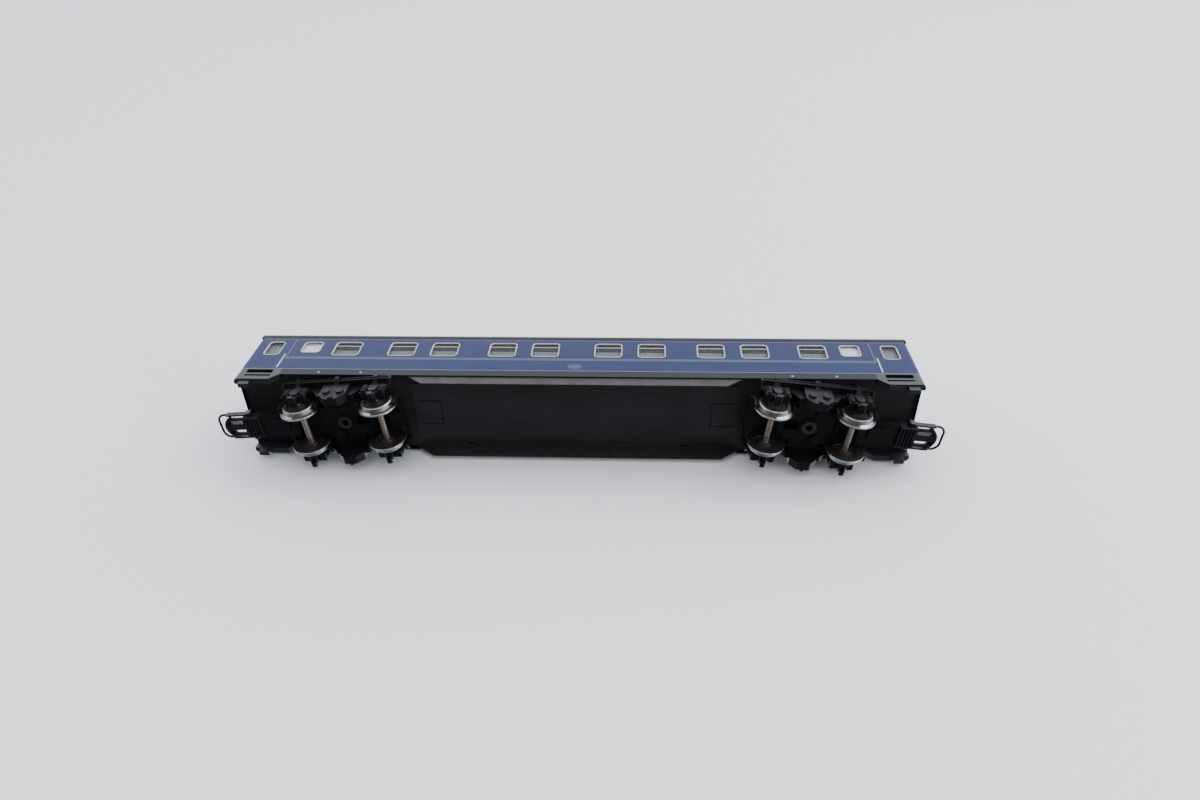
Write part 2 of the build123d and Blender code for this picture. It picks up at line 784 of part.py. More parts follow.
# ---------------------------------------------------------------------------
# Couplers: ribbed housing with a hook and a curved front plate on the drawbar,
# pin, yoke with two flat arms, and a wire bow held in the arms
# ---------------------------------------------------------------------------
housing_start = drawbar_end
housing_end = 37.0
housing_half_width = 4.3
housing_bottom = rail_head + 6.2
housing_top = rail_head + 9.9
groove_places = (31.9, 33.1, 34.3, 35.5)
groove_length = 0.55
groove_depth = 0.8
groove_margin = 0.6
pin_place = 35.0
pin_height = rail_head + 8.4
pin_radius = 0.5
pin_head_radius = 1.15
pin_head_length = 0.5
pin_end_gap = 0.1
plate_root = 42.4
plate_front = 44.7
plate_thickness = 0.9
plate_half_width = 4.2
plate_bottom = rail_head + 7.0
plate_top = rail_head + 9.6
hook_half_width = 1.3
hook_bottom = pin_height - 1.2
hook_top = rail_head + 12.2
hook_start = housing_end - overlap
hook_front = 44.0
hook_throat = 41.5
strut_place = 39.8
strut_line = 3.2
strut_size = (6.6, 0.9)
strut_height = 1.0
arm_half_width = 1.0
arm_thickness = 0.6
arm_gap = 0.3
arm_front = 42.6
arm_inner_face = housing_half_width + arm_gap
bow_wire = 0.42
bow_front = 46.8
bow_corner = 2.7
bow_line = arm_inner_face + arm_thickness / 2

with BuildPart() as coupler_hook:
    with BuildSketch(Plane.XY.offset(housing_bottom)):
        with Locations(((housing_start + housing_end) / 2, 0)):
            Rectangle(housing_end - housing_start, 2 * housing_half_width)
    extrude(amount=housing_top - housing_bottom)
    # grooves across the underside, which leave ribs between them
    with BuildSketch(Plane.XY.offset(housing_bottom)):
        for x in groove_places:
            with Locations((x, 0)):
                Rectangle(groove_length, 2 * (housing_half_width - groove_margin))
    extrude(amount=groove_depth, mode=Mode.SUBTRACT)
    # hook arm with its nose, the two struts, and the curved plate at the front
    with BuildSketch(Plane.XZ.offset(-hook_half_width)):
        with BuildLine():
            Polyline(
                (hook_start, hook_bottom),
                (hook_front, hook_bottom),
                (hook_front, hook_top - 0.8),
                (hook_front - 0.8, hook_top),
                (hook_throat, pin_height + 1.4),
                (hook_start, pin_height + 1.0),
                close=True,
            )
        make_face()
    extrude(amount=2 * hook_half_width)
    with BuildSketch(Plane.XY.offset(plate_bottom)):
        with BuildLine():
            ThreePointArc((plate_root, -plate_half_width), (plate_front, 0), (plate_root, plate_half_width))
            Line((plate_root, plate_half_width), (plate_root - plate_thickness, plate_half_width - 0.2))
            ThreePointArc(
                (plate_root - plate_thickness, plate_half_width - 0.2),
                (plate_front - plate_thickness, 0),
                (plate_root - plate_thickness, 0.2 - plate_half_width),
            )
            Line((plate_root - plate_thickness, 0.2 - plate_half_width), (plate_root, -plate_half_width))
        make_face()
    extrude(amount=plate_top - plate_bottom)
    with BuildSketch(Plane.XY.offset(hook_bottom)):
        with Locations((strut_place, strut_line), (strut_place, -strut_line)):
            Rectangle(*strut_size)
    extrude(amount=strut_height)
    # hole for the pin
    with BuildSketch(Plane.XZ):
        with Locations((pin_place, pin_height)):
            Circle(pin_radius)
    extrude(amount=2 * housing_half_width, both=True, mode=Mode.SUBTRACT)
export_on_bogies(coupler_hook.part, "coupler_hook")

pin_head_start = arm_inner_face + arm_thickness + pin_end_gap

with BuildPart() as coupler_pin:
    with BuildSketch(Plane.XZ):
        with Locations((pin_place, pin_height)):
            Circle(pin_radius)
    extrude(amount=pin_head_start, both=True)
    for face, length in ((pin_head_start, pin_head_length), (-pin_head_start, -pin_head_length)):
        with BuildSketch(Plane.XZ.offset(face)):
            with Locations((pin_place, pin_height)):
                Circle(pin_head_radius)
        extrude(amount=length)
export_on_bogies(coupler_pin.part, "coupler_pin")

# The yoke's arms hang on the pin; its cross strip passes over the housing,
# high enough to clear it when the bow is lifted
strip_bottom = housing_top + 0.9
strip_thickness = 0.4
strip_width = 1.0

with BuildPart() as coupler_yoke:
    for face in (arm_inner_face + arm_thickness, -arm_inner_face):
        with BuildSketch(Plane.XZ.offset(face)):
            with Locations(((pin_place + arm_front) / 2, pin_height)):
                SlotOverall(arm_front - pin_place + 2 * arm_half_width, 2 * arm_half_width)
            with Locations((pin_place, (pin_height + strip_bottom + strip_thickness) / 2)):
                Rectangle(strip_width, strip_bottom - pin_height + strip_thickness)
        extrude(amount=-arm_thickness)
    with BuildSketch(Plane.XY.offset(strip_bottom)):
        with Locations((pin_place, 0)):
            Rectangle(strip_width, 2 * (arm_inner_face + arm_thickness))
    extrude(amount=strip_thickness)
    with BuildSketch(Plane.XZ):
        with Locations((pin_place, pin_height)):
            Circle(pin_radius + fit)
    extrude(amount=2 * arm_inner_face, both=True, mode=Mode.SUBTRACT)
export_on_bogies(coupler_yoke.part, "coupler_yoke")

with BuildPart() as coupler_bow:
    with BuildLine(Plane.XY.offset(pin_height)) as bow_path:
        FilletPolyline(
            (arm_front + arm_half_width, bow_line),
            (bow_front, bow_line),
            (bow_front, -bow_line),
            (arm_front + arm_half_width, -bow_line),
            radius=bow_corner,
        )
    with BuildSketch(Plane(bow_path.line @ 0, z_dir=bow_path.line % 0)):
        Circle(bow_wire)
    sweep()
export_on_bogies(coupler_bow.part, "coupler_bow")
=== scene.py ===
import json
import math

import bmesh
import bpy
from mathutils import Matrix, Vector


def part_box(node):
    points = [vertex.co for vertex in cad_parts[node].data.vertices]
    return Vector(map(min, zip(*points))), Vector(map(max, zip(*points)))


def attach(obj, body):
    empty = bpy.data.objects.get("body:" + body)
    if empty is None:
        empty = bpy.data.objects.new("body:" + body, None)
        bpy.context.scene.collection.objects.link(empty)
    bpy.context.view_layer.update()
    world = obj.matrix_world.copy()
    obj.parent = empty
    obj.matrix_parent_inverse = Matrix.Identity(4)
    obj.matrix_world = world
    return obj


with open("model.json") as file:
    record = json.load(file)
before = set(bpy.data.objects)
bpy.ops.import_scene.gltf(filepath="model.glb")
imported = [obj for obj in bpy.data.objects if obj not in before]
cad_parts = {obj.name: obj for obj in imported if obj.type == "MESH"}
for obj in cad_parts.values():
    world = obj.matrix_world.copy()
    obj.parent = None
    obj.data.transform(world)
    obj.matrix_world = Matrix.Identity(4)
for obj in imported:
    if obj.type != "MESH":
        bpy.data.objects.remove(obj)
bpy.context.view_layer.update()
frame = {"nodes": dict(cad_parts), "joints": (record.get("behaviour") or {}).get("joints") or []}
nodes = frame["nodes"]
joints = {joint["name"]: joint for joint in frame["joints"]}
MM = 0.001
ENDS = ("left", "right")

# ---------------------------------------------------------------------------
# Sizes read from the frame, and the windows
# ---------------------------------------------------------------------------
shell_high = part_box("body_shell")[1]
glass_low, glass_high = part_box("glazing_near")
half_width = shell_high.y
half_length = shell_high.x
roof_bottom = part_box("roof")[0].z
colour_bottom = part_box("door_step_right_near")[1].z
window_middle = (glass_low.z + glass_high.z) / 2
window_width = 10.2 * MM
window_height = 9.4 * MM
window_radius = 1.6 * MM
compartment_windows = [x * MM for x in (11.4, 27.0, 48.2, 63.8, 84.3)]
lavatory_window = 97.7 * MM
lavatory_size = (7.4 * MM, 7.6 * MM)
door_window = 111.6 * MM
door_window_width = 6.2 * MM


# ---------------------------------------------------------------------------
# Node helpers for the materials
# ---------------------------------------------------------------------------
class Surface:
    """A procedural material: a Principled shader with the nodes that feed it."""

    def __init__(self, name, colour, roughness, metallic=0.0, specular=0.5):
        self.material = bpy.data.materials.new(name)
        self.material.use_nodes = True
        self.tree = self.material.node_tree
        self.shader = self.tree.nodes["Principled BSDF"]
        self.shader.inputs["Metallic"].default_value = metallic
        self.shader.inputs["Specular IOR Level"].default_value = specular
        self.place = self.tree.nodes.new("ShaderNodeTexCoord").outputs["Object"]
        self.colour = (*colour, 1.0)
        self.roughness = roughness
        self.height = None

    def feed(self, socket, source):
        """Link the source to the socket, or set it there if it is a plain value."""
        if isinstance(source, (int, float, tuple)):
            socket.default_value = source
        else:
            self.tree.links.new(source, socket)

    def math(self, operation, first, second=0.0):
        node = self.tree.nodes.new("ShaderNodeMath")
        node.operation = operation
        for socket, source in zip(node.inputs, (first, second)):
            self.feed(socket, source)
        return node.outputs[0]

    def axis(self, name):
        node = self.tree.nodes.new("ShaderNodeSeparateXYZ")
        self.tree.links.new(self.place, node.inputs[0])
        return node.outputs[name]

    def noise(self, size, detail=3.0, stretch=(1.0, 1.0, 1.0), low=0.35, high=0.65):
        """Noise with features of the given size, spread to run from 0 to 1."""
        mapping = self.tree.nodes.new("ShaderNodeMapping")
        mapping.inputs["Scale"].default_value = stretch
        self.tree.links.new(self.place, mapping.inputs["Vector"])
        node = self.tree.nodes.new("ShaderNodeTexNoise")
        node.inputs["Scale"].default_value = 1.0 / size
        node.inputs["Detail"].default_value = detail
        self.tree.links.new(mapping.outputs[0], node.inputs["Vector"])
        spread = self.tree.nodes.new("ShaderNodeMapRange")
        spread.inputs["From Min"].default_value = low
        spread.inputs["From Max"].default_value = high
        self.tree.links.new(node.outputs["Fac"], spread.inputs["Value"])
        return spread.outputs[0]

    def band(self, source, low, high):
        """1 where the source lies between low and high, else 0."""
        above = self.math("GREATER_THAN", source, low)
        below = self.math("LESS_THAN", source, high)
        return self.math("MULTIPLY", above, below)

    def both(self, *masks):
        result = masks[0]
        for mask in masks[1:]:
            result = self.math("MULTIPLY", result, mask)
        return result

    def paint(self, mask, colour, strength=1.0):
        """Lay a colour over the present one where the mask is 1."""
        node = self.tree.nodes.new("ShaderNodeMix")
        node.data_type = "RGBA"
        self.feed(node.inputs["Factor"], self.math("MULTIPLY", mask, strength))
        self.feed(node.inputs["A"], self.colour)
        node.inputs["B"].default_value = (*colour, 1.0)
        self.colour = node.outputs["Result"]

    def roughen(self, mask, amount):
        self.roughness = self.math("ADD", self.roughness, self.math("MULTIPLY", mask, amount))

    def bump(self, height, depth):
        """Add a relief of the given depth in metres."""
        node = self.tree.nodes.new("ShaderNodeBump")
        node.inputs["Distance"].default_value = depth
        node.inputs["Strength"].default_value = 1.0
        self.tree.links.new(height, node.inputs["Height"])
        if self.height is not None:
            self.tree.links.new(self.height, node.inputs["Normal"])
        self.height = node.outputs["Normal"]

    def finish(self):
        self.feed(self.shader.inputs["Base Color"], self.colour)
        self.feed(self.shader.inputs["Roughness"], self.roughness)
        if self.height is not None:
            self.tree.links.new(self.height, self.shader.inputs["Normal"])
        return self.material


# ---------------------------------------------------------------------------
# Materials
# ---------------------------------------------------------------------------
CREAM = (0.44, 0.46, 0.42)
STRIPE = (0.050, 0.080, 0.125)
PALE_LINE = (0.12, 0.15, 0.22)
DARK = (0.008, 0.009, 0.012)
SOLEBAR = (0.010, 0.012, 0.018)
CREST = (0.055, 0.075, 0.13)
CREST_RING = (0.035, 0.05, 0.10)
DUST = (0.20, 0.19, 0.18)

print_skin = 0.2 * MM
metal_skin = 0.3 * MM
stripe_low = window_middle - window_height / 2 - 2.5 * MM
stripe_high = stripe_low + 1.5 * MM
line_top = window_middle + window_height / 2 + 1.5 * MM
line_half_height = 0.12 * MM
lower_line_height = 0.3 * MM
dark_edge_height = 0.4 * MM
panel_line = (104.9 * MM, 105.15 * MM)
stripe_end = 105.2 * MM
handrail = (105.85 * MM, 106.4 * MM)
handrail_levels = (colour_bottom + 1.0 * MM, window_middle - 3.9 * MM)
mark_levels = (colour_bottom - 2.2 * MM, colour_bottom - 1.6 * MM)
mark_places = (74.6 * MM, 89.6 * MM)
mark_length = 0.8 * MM
crest_level = colour_bottom + 3.0 * MM
crest_half_length = 2.6 * MM
crest_half_height = 1.5 * MM
gutter_height = 2.6 * MM
floor_shade_and_dust_margin = 12.5 * MM


def printed_side():
    """Blue tinplate with its printed stripes, panel lines, handrails and solebar, and painted shade on its
    inner faces.
    """
    s = Surface("printed_side", (0.008, 0.017, 0.082), 0.30, specular=0.17)
    x, y, z = s.axis("X"), s.axis("Y"), s.axis("Z")
    reach = s.math("ABSOLUTE", x)
    on_side = s.math("GREATER_THAN", s.math("ABSOLUTE", y), half_width - print_skin)
    inside = s.both(
        s.math("LESS_THAN", s.math("ABSOLUTE", y), half_width - metal_skin),
        s.math("LESS_THAN", reach, half_length - metal_skin),
    )
    s.paint(s.noise(9 * MM), (0.010, 0.020, 0.092), 0.5)
    inboard = s.math("LESS_THAN", reach, stripe_end)
    s.paint(s.both(on_side, inboard, s.band(z, stripe_low, stripe_high)), STRIPE)
    top_line = s.band(z, line_top - line_half_height, line_top + line_half_height)
    s.paint(s.both(on_side, top_line), PALE_LINE, 0.7)
    s.paint(s.both(on_side, s.band(z, colour_bottom, colour_bottom + lower_line_height)), PALE_LINE)
    s.paint(s.both(on_side, s.band(reach, *panel_line), s.band(z, stripe_low, line_top)), PALE_LINE)
    s.paint(s.both(on_side, s.band(reach, *handrail), s.band(z, *handrail_levels)), CREAM)
    s.paint(s.both(on_side, s.math("LESS_THAN", z, colour_bottom)), SOLEBAR)
    s.paint(s.math("GREATER_THAN", z, shell_high.z - dark_edge_height), DARK)
    # The inner faces of the shell are painted near black: painted shade for the dark gaps under the sheet's
    # edges.
    s.paint(inside, DARK)
    mark_level = s.band(z, *mark_levels)
    for place in mark_places:
        s.paint(s.both(on_side, mark_level, s.band(reach, place, place + mark_length)), CREAM, 0.8)
    above_crest = s.math("SUBTRACT", z, crest_level)
    oval = s.math(
        "ADD",
        s.math("POWER", s.math("DIVIDE", x, crest_half_length), 2.0),
        s.math("POWER", s.math("DIVIDE", above_crest, crest_half_height), 2.0),
    )
    s.paint(s.both(on_side, s.math("LESS_THAN", oval, 1.0)), CREST)
    s.paint(s.both(on_side, s.band(oval, 0.42, 0.62)), CREST_RING)
    s.paint(s.noise(0.35 * MM, low=0.70, high=0.76), DUST, 0.25)
    s.roughen(s.noise(4 * MM), 0.08)
    s.bump(s.noise(18 * MM, detail=1.0), 0.02 * MM)
    return s.finish()


def painted_roof():
    """Grey roof, dark along its lower edge at the gutter."""
    s = Surface("painted_roof", (0.19, 0.205, 0.23), 0.45, specular=0.10)
    z = s.axis("Z")
    s.paint(s.noise(12 * MM), (0.215, 0.23, 0.255), 0.6)
    s.paint(s.math("LESS_THAN", z, roof_bottom + gutter_height), DARK)
    s.paint(s.noise(0.4 * MM, low=0.68, high=0.76), DUST, 0.15)
    s.roughen(s.noise(4 * MM), 0.1)
    s.bump(s.noise(16 * MM, detail=1.0), 0.02 * MM)
    return s.finish()


def plain(name, colour, roughness, shade, grain=0.3 * MM, relief=0.01 * MM, dust=0.2, **shader):
    """A moulded or painted surface: mottled colour, fine grain and a little dust."""
    s = Surface(name, colour, roughness, **shader)
    s.paint(s.noise(3 * MM), shade, 0.6)
    s.paint(s.noise(0.4 * MM, low=0.66, high=0.76), DUST, dust)
    s.roughen(s.noise(1.2 * MM), 0.14)
    s.bump(s.noise(grain), relief)
    return s.finish()


def floor_sheet():
    """Black varnished sheet, mottled, painted darker by the skirts as painted shade, with brown dust specks
    there.
    """
    s = Surface("floor_sheet", (0.020, 0.019, 0.023), 0.38, specular=0.36)
    y = s.axis("Y")
    s.paint(s.noise(14 * MM, stretch=(0.5, 1, 1)), (0.030, 0.029, 0.034), 0.7)
    # Along the skirts the sheet is painted dark brown: painted shade from the skirts, with brown dust specks
    # over it.
    shade_and_dust_margin = s.math("GREATER_THAN", s.math("ABSOLUTE", y), floor_shade_and_dust_margin)
    s.paint(s.both(shade_and_dust_margin, s.noise(2.5 * MM)), (0.020, 0.014, 0.010), 0.8)
    s.paint(s.both(shade_and_dust_margin, s.noise(0.5 * MM, low=0.66, high=0.74)), (0.14, 0.11, 0.09), 0.6)
    s.paint(s.noise(0.45 * MM, low=0.68, high=0.75), DUST, 0.25)
    s.roughen(s.noise(5 * MM), 0.14)
    s.bump(s.noise(0.8 * MM), 0.005 * MM)
    return s.finish()


def turned_metal(name, colour, roughness):
    """Turned metal with small spots of tarnish."""
    s = Surface(name, colour, roughness, metallic=1.0)
    s.paint(s.noise(1.6 * MM), tuple(c * 0.7 for c in colour), 0.6)
    s.paint(s.noise(0.5 * MM, low=0.62, high=0.74), (0.10, 0.085, 0.07), 0.4)
    s.roughen(s.noise(0.9 * MM), 0.14)
    s.bump(s.noise(0.12 * MM), 0.003 * MM)
    return s.finish()


def tyre():
    """Bright tread and flange, with the flat faces of the tyre dull and brown."""
    s = Surface("tyre_metal", (0.46, 0.50, 0.52), 0.28, metallic=1.0)
    facing = s.tree.nodes.new("ShaderNodeSeparateXYZ")
    s.tree.links.new(s.place.node.outputs["Normal"], facing.inputs[0])
    flat = s.math("GREATER_THAN", s.math("ABSOLUTE", facing.outputs["Y"]), 0.93)
    s.paint(s.noise(1.6 * MM), (0.20, 0.21, 0.22), 0.7)
    s.paint(flat, (0.075, 0.062, 0.055))
    s.paint(s.noise(0.7 * MM, low=0.50, high=0.68), (0.085, 0.075, 0.065), 0.6)
    s.roughen(flat, 0.22)
    s.roughen(s.noise(0.9 * MM), 0.14)
    s.bump(s.noise(0.12 * MM), 0.003 * MM)
    return s.finish()


def rusty_axle():
    """Steel with brown patches of rust."""
    s = Surface("rusty_axle", (0.42, 0.40, 0.38), 0.34, metallic=0.8)
    s.paint(s.noise(1.6 * MM), (0.34, 0.22, 0.16), 0.8)
    s.paint(s.noise(0.6 * MM, low=0.60, high=0.66), (0.17, 0.06, 0.045), 0.8)
    s.roughen(s.noise(0.7 * MM), 0.2)
    s.bump(s.noise(0.3 * MM), 0.01 * MM)
    return s.finish()


def clear_glazing():
    """Thin clear plastic."""
    s = Surface("clear_glazing", (0.20, 0.21, 0.23), 0.08)
    s.roughen(s.noise(3 * MM), 0.06)
    s.shader.inputs["Alpha"].default_value = 0.12
    return s.finish()


BLACK_PLASTIC = dict(specular=0.20, dust=0.18)
materials = {
    "body_shell": printed_side(),
    "roof": painted_roof(),
    "glazing": clear_glazing(),
    "lavatory_panes": plain("frosted_pane", (0.93, 0.94, 0.93), 0.5, (0.88, 0.89, 0.88), dust=0.03),
    "interior_fitting": plain("fitting_plastic", (0.15, 0.155, 0.17), 0.5, (0.18, 0.185, 0.20), dust=0.1),
    "gangway": plain("bellows_rubber", (0.010, 0.010, 0.012), 0.6, (0.018, 0.018, 0.020)),
    "floor_pan": floor_sheet(),
    "door_step": plain("step_plastic", (0.012, 0.013, 0.020), 0.34, (0.020, 0.021, 0.030)),
    "pivot_rivet": plain("rivet_metal", (0.05, 0.05, 0.05), 0.35, (0.09, 0.085, 0.08), metallic=0.8),
    "contact_leaf": turned_metal("leaf_brass", (0.34, 0.28, 0.10), 0.35),
    "bogie": plain("bogie_plastic", (0.005, 0.005, 0.007), 0.36, (0.010, 0.010, 0.012), **BLACK_PLASTIC),
    "coupler_hook": plain(
        "coupler_plastic", (0.012, 0.012, 0.015), 0.28, (0.02, 0.02, 0.023), **BLACK_PLASTIC
    ),
    "coupler_yoke": turned_metal("yoke_steel", (0.055, 0.053, 0.066), 0.42),
    "coupler_pin": plain("pin_metal", (0.06, 0.06, 0.065), 0.3, (0.1, 0.1, 0.1), metallic=0.7),
    "coupler_bow": plain("bow_wire", (0.024, 0.024, 0.030), 0.26, (0.04, 0.04, 0.045), metallic=0.6),
    "axle": rusty_axle(),
    "tyre": tyre(),
    "wheel_centre": plain("wheel_centre_dark", (0.020, 0.018, 0.017), 0.42, (0.040, 0.035, 0.030), dust=0.3),
    "window_frame": plain("cream_print", CREAM, 0.34, (0.39, 0.41, 0.37), dust=0.08),
}


def material_for(node_name):
    """The material whose name the node's own name starts with."""
    return materials[max((key for key in materials if node_name.startswith(key)), key=len)]


ROUND_EDGES = ("bogie", "coupler_hook", "coupler_yoke", "door_step", "gangway", "wheel_centre")

for name, obj in nodes.items():
    obj.data.materials.clear()
    obj.data.materials.append(material_for(name))
    if name.startswith(ROUND_EDGES):
        weld = obj.modifiers.new("weld", "WELD")
        weld.merge_threshold = 0.002 * MM
        bevel = obj.modifiers.new("bevel", "BEVEL")
        bevel.width = 0.07 * MM
        bevel.segments = 2
        bevel.limit_method = "ANGLE"
        bevel.angle_limit = math.radians(35)


# ---------------------------------------------------------------------------
# Mesh helpers
# ---------------------------------------------------------------------------
def piece(name, bm, key, body):
    """Turn a bmesh into a named piece that rides on a body."""
    mesh = bpy.data.meshes.new(name)
    bmesh.ops.recalc_face_normals(bm, faces=bm.faces)
    bm.to_mesh(mesh)
    bm.free()
    mesh.materials.append(materials[key])
    obj = bpy.data.objects.new(name, mesh)
    bpy.context.scene.collection.objects.link(obj)
    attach(obj, body)
    return obj


least_corner = 0.1 * MM


def rounded_outline(width, height, radius, steps=6):
    """Points of a rounded rectangle about the origin, anticlockwise."""
    points = []
    for quarter in range(4):
        turn = quarter * math.pi / 2
        sign_x = 1 if quarter in (0, 3) else -1
        sign_z = 1 if quarter in (0, 1) else -1
        cx, cz = sign_x * (width / 2 - radius), sign_z * (height / 2 - radius)
        for step in range(steps + 1):
            angle = turn + step / steps * math.pi / 2
            points.append((cx + radius * math.cos(angle), cz + radius * math.sin(angle)))
    return points


def add_frame(bm, centre, size, radius, wall, face, depth):
    """A raised window surround: its section is a flat strip with rounded edges."""
    round_start = depth * 0.75
    section = (
        (0.0, 0.0),
        (0.0, round_start),
        (wall * 0.25, depth),
        (wall * 0.75, depth),
        (wall, round_start),
        (wall, 0.0),
    )
    rings = []
    for inset, rise in section:
        corner = max(radius - inset, least_corner)
        outline = rounded_outline(size[0] - 2 * inset, size[1] - 2 * inset, corner)
        y = face + math.copysign(rise, face)
        rings.append([bm.verts.new((centre[0] + px, y, centre[1] + pz)) for px, pz in outline])
    count = len(rings[0])
    for first, second in zip(rings, rings[1:] + rings[:1]):
        for index in range(count):
            following = (index + 1) % count
            bm.faces.new((first[index], first[following], second[following], second[index]))


def add_box(bm, low, high):
    """A box with slightly rounded edges, given by its two corners."""
    low, high = Vector(low), Vector(high)
    made = bmesh.ops.create_cube(bm, size=1.0)["verts"]
    for vert in made:
        vert.co = Vector((low[i] + (vert.co[i] + 0.5) * (high[i] - low[i]) for i in range(3)))
    edges = list({edge for vert in made for edge in vert.link_edges})
    bmesh.ops.bevel(bm, geom=edges, offset=min(high - low) * 0.2, segments=2, affect="EDGES", profile=0.7)


# ---------------------------------------------------------------------------
# Window surrounds with their glazing bars, on both sides
# ---------------------------------------------------------------------------
surround = 0.5 * MM
surround_depth = 0.38 * MM
surround_clearance = 0.05 * MM
bar_height = 0.3 * MM
bar_depth = surround_depth * 0.7
bar_place = 0.30
lavatory_middle = window_middle + (window_height - lavatory_size[1]) / 2


def window_surrounds(side, side_name):
    """All the surrounds of one side, with the bars of the compartment windows."""
    bm = bmesh.new()
    face = side * (half_width - surround_depth - surround_clearance)
    for end in (-1, 1):
        openings = [(end * x, window_middle, (window_width, window_height), True) for x in compartment_windows]
        openings.append((end * door_window, window_middle, (door_window_width, window_height), False))
        openings.append((end * lavatory_window, lavatory_middle, lavatory_size, False))
        for x, z, size, barred in openings:
            add_frame(bm, (x, z), size, window_radius, surround, face, surround_depth)
            if barred:
                level = z + size[1] * (0.5 - bar_place)
                reach = size[0] / 2 - surround * 0.6
                back, front = sorted((face, face + side * bar_depth))
                low, high = level - bar_height / 2, level + bar_height / 2
                add_box(bm, (x - reach, back, low), (x + reach, front, high))
    piece(f"window_surrounds_{side_name}", bm, "window_frame", "coach_body")


window_surrounds(-1, "near")
window_surrounds(1, "far")


panel_faces = (14.2 * MM, 14.8 * MM)
panel_ends = (106.5 * MM, 116.5 * MM)
panel_levels = (20.0 * MM, 38.0 * MM)


def vestibule_panels():
    """Light panels inside the doors, seen through the door windows."""
    bm = bmesh.new()
    for side in (-1, 1):
        for end in (-1, 1):
            across = sorted(side * y for y in panel_faces)
            along = sorted(end * x for x in panel_ends)
            low, high = zip(along, across, panel_levels)
            add_box(bm, low, high)
    piece("vestibule_panels", bm, "interior_fitting", "coach_body")


vestibule_panels()


# ---------------------------------------------------------------------------
# Coil springs: wires wound round the cores moulded on the bogie sides
# ---------------------------------------------------------------------------
axle_offset = 14.0 * MM
spring_offset = 3.0 * MM
spring_line = 13.5 * MM
spring_low = 5.4 * MM
spring_high = 9.3 * MM
coil_radius = 1.12 * MM
wire_radius = 0.27 * MM
coil_turns = 5
steps_per_turn = 14
wire_sides = 6


def bogie_matrix(end):
    """Where a bogie stands: its drawbar points along the matrix's own +X."""
    pivot = joints[f"bogie_swivel_{end}"]["pos_m"]
    spin = joints[f"wheel_spin_{end}_outer"]["axis"]
    across = Vector(spin).normalized()
    along = across.cross(Vector((0, 0, 1)))
    turn = Matrix((along, across, (0, 0, 1))).transposed().to_4x4()
    return Matrix.Translation((pivot[0], pivot[1], 0)) @ turn


def add_tube(bm, points, radius, sides):
    """Sweep a round section along a list of points."""
    rings = []
    up = Vector((0, 0, 1))
    for before, point, after in zip(points[:1] + points, points, points[1:] + points[-1:]):
        run = (after - before).normalized()
        first = run.cross(up).normalized()
        second = run.cross(first).normalized()
        ring = []
        for side in range(sides):
            angle = 2 * math.pi * side / sides
            offset = math.cos(angle) * first + math.sin(angle) * second
            ring.append(bm.verts.new(point + radius * offset))
        rings.append(ring)
    for lower, upper in zip(rings, rings[1:]):
        for side in range(sides):
            following = (side + 1) % sides
            bm.faces.new((lower[side], lower[following], upper[following], upper[side]))
    bm.faces.new(rings[0])
    bm.faces.new(rings[-1])


def coil_springs(end):
    """The eight springs of one bogie, two at each axle box."""
    bm = bmesh.new()
    steps = steps_per_turn * coil_turns
    for side in (-1, 1):
        for axle in (-1, 1):
            for offset in (-spring_offset, spring_offset):
                centre = Vector((axle * axle_offset + offset, side * spring_line, 0))
                points = []
                for step in range(steps + 1):
                    angle = 2 * math.pi * coil_turns * step / steps
                    level = spring_low + (spring_high - spring_low) * step / steps
                    around = Vector((coil_radius * math.cos(angle), coil_radius * math.sin(angle), level))
                    points.append(centre + around)
                add_tube(bm, points, wire_radius, wire_sides)
    bm.transform(bogie_matrix(end))
    obj = piece(f"coil_springs_{end}", bm, "bogie", f"bogie_{end}")
    for polygon in obj.data.polygons:
        polygon.use_smooth = True


for end in ENDS:
    coil_springs(end)


# ---------------------------------------------------------------------------
# Stage: the surface that the coach lies on in the photograph's view, and a
# floor under the wheels for the views from above. Each is seen from one side.
# ---------------------------------------------------------------------------
def one_sided_paper(name, colour):
    """Matt paper that can't be seen from its back."""
    material = bpy.data.materials.new(name)
    material.use_nodes = True
    tree = material.node_tree
    shader = tree.nodes["Principled BSDF"]
    shader.inputs["Base Color"].default_value = (*colour, 1.0)
    shader.inputs["Roughness"].default_value = 0.9
    shader.inputs["Specular IOR Level"].default_value = 0.1
    clear = tree.nodes.new("ShaderNodeBsdfTransparent")
    side = tree.nodes.new("ShaderNodeNewGeometry")
    mix = tree.nodes.new("ShaderNodeMixShader")
    tree.links.new(side.outputs["Backfacing"], mix.inputs[0])
    tree.links.new(shader.outputs[0], mix.inputs[1])
    tree.links.new(clear.outputs[0], mix.inputs[2])
    tree.links.new(mix.outputs[0], tree.nodes["Material Output"].inputs["Surface"])
    return material


def stage_plane(name, corners, material):
    """A backdrop that the camera sees, and that puts no light on the coach."""
    mesh = bpy.data.meshes.new(name)
    mesh.from_pydata(corners, [], [(0, 1, 2, 3)])
    mesh.materials.append(material)
    obj = bpy.data.objects.new(name, mesh)
    bpy.context.scene.collection.objects.link(obj)
    obj.visible_diffuse = False
    obj.visible_glossy = False
    obj.visible_transmission = False
    obj.visible_shadow = False


paper = one_sided_paper("stage_paper", (0.93, 0.945, 0.97))
far = 3.0
ground_level = -0.05 * MM
lean = 0.042
lean_start = half_width + 1.75 * MM
near_edge, far_edge = lean_start + lean * far, lean_start - lean * far
rest_corners = [
    (-far, near_edge, -far),
    (far, near_edge, -far),
    (far, far_edge, far),
    (-far, far_edge, far),
]
ground_corners = [
    (-far, -far, ground_level),
    (far, -far, ground_level),
    (far, far, ground_level),
    (-far, far, ground_level),
]
stage_plane("rest_surface", rest_corners, paper)
stage_plane("ground", ground_corners, paper)


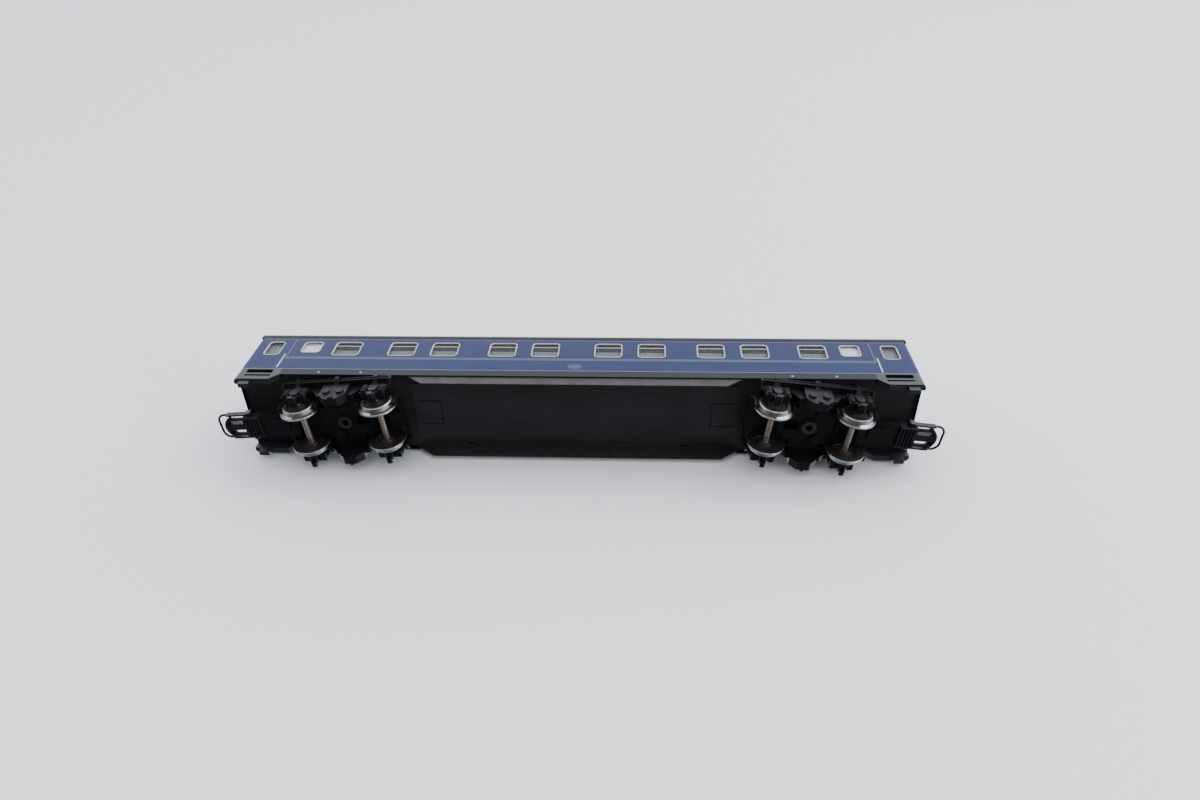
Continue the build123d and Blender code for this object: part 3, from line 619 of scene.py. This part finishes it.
# ---------------------------------------------------------------------------
# Light: surroundings that are bright above and dim below, and two soft lamps
# on the right, one in front of the coach and one under it
# ---------------------------------------------------------------------------
world = bpy.data.worlds.new("studio")
bpy.context.scene.world = world
world.use_nodes = True
sky = world.node_tree
direction = sky.nodes.new("ShaderNodeTexCoord")
towards = sky.nodes.new("ShaderNodeVectorMath")
towards.operation = "DOT_PRODUCT"
towards.inputs[1].default_value = Vector((0.20, -0.30, 0.93)).normalized()
sky.links.new(direction.outputs["Generated"], towards.inputs[0])
grade = sky.nodes.new("ShaderNodeMapRange")
grade.interpolation_type = "SMOOTHSTEP"
grade.inputs["From Min"].default_value = -1.0
grade.inputs["From Max"].default_value = 0.8
grade.inputs["To Min"].default_value = 0.18
grade.inputs["To Max"].default_value = 2.5
sky.links.new(towards.outputs["Value"], grade.inputs["Value"])
background = sky.nodes["Background"]
background.inputs["Color"].default_value = (0.92, 0.94, 1.0, 1.0)
sky.links.new(grade.outputs[0], background.inputs["Strength"])


def soft_lamp(name, place, power, size):
    """A round area lamp that points at the origin."""
    lamp = bpy.data.lights.new(name, "AREA")
    lamp.shape = "DISK"
    lamp.size = size
    lamp.energy = power
    obj = bpy.data.objects.new(name, lamp)
    obj.location = place
    obj.rotation_euler = Vector(place).to_track_quat("Z", "Y").to_euler()
    bpy.context.scene.collection.objects.link(obj)


soft_lamp("key", (0.75, -0.95, 0.35), 4.0, 0.5)
soft_lamp("rim", (0.80, -0.25, -0.55), 2.0, 0.3)

# ---------------------------------------------------------------------------
# Camera: below and in front, with the coach lying on its far side
# ---------------------------------------------------------------------------
azimuth, elevation, roll = math.radians(4.8), math.radians(-54.6), math.radians(4.5)
distance = 0.3054
aim = Vector((8.4, 0.0, 23.4)) * MM
back = Vector(
    (
        math.sin(azimuth) * math.cos(elevation),
        -math.cos(azimuth) * math.cos(elevation),
        math.sin(elevation),
    )
)
camera_data = bpy.data.cameras.new("camera")
camera_data.lens = 25.1
camera_data.sensor_width = 36.0
camera_data.clip_start = 0.01
camera_data.clip_end = 20.0
camera = bpy.data.objects.new("camera", camera_data)
camera.location = aim + back * distance
turn = back.to_track_quat("Z", "Y").to_matrix() @ Matrix.Rotation(roll, 3, "Z")
camera.rotation_euler = turn.to_euler()
bpy.context.scene.collection.objects.link(camera)
bpy.context.scene.camera = camera
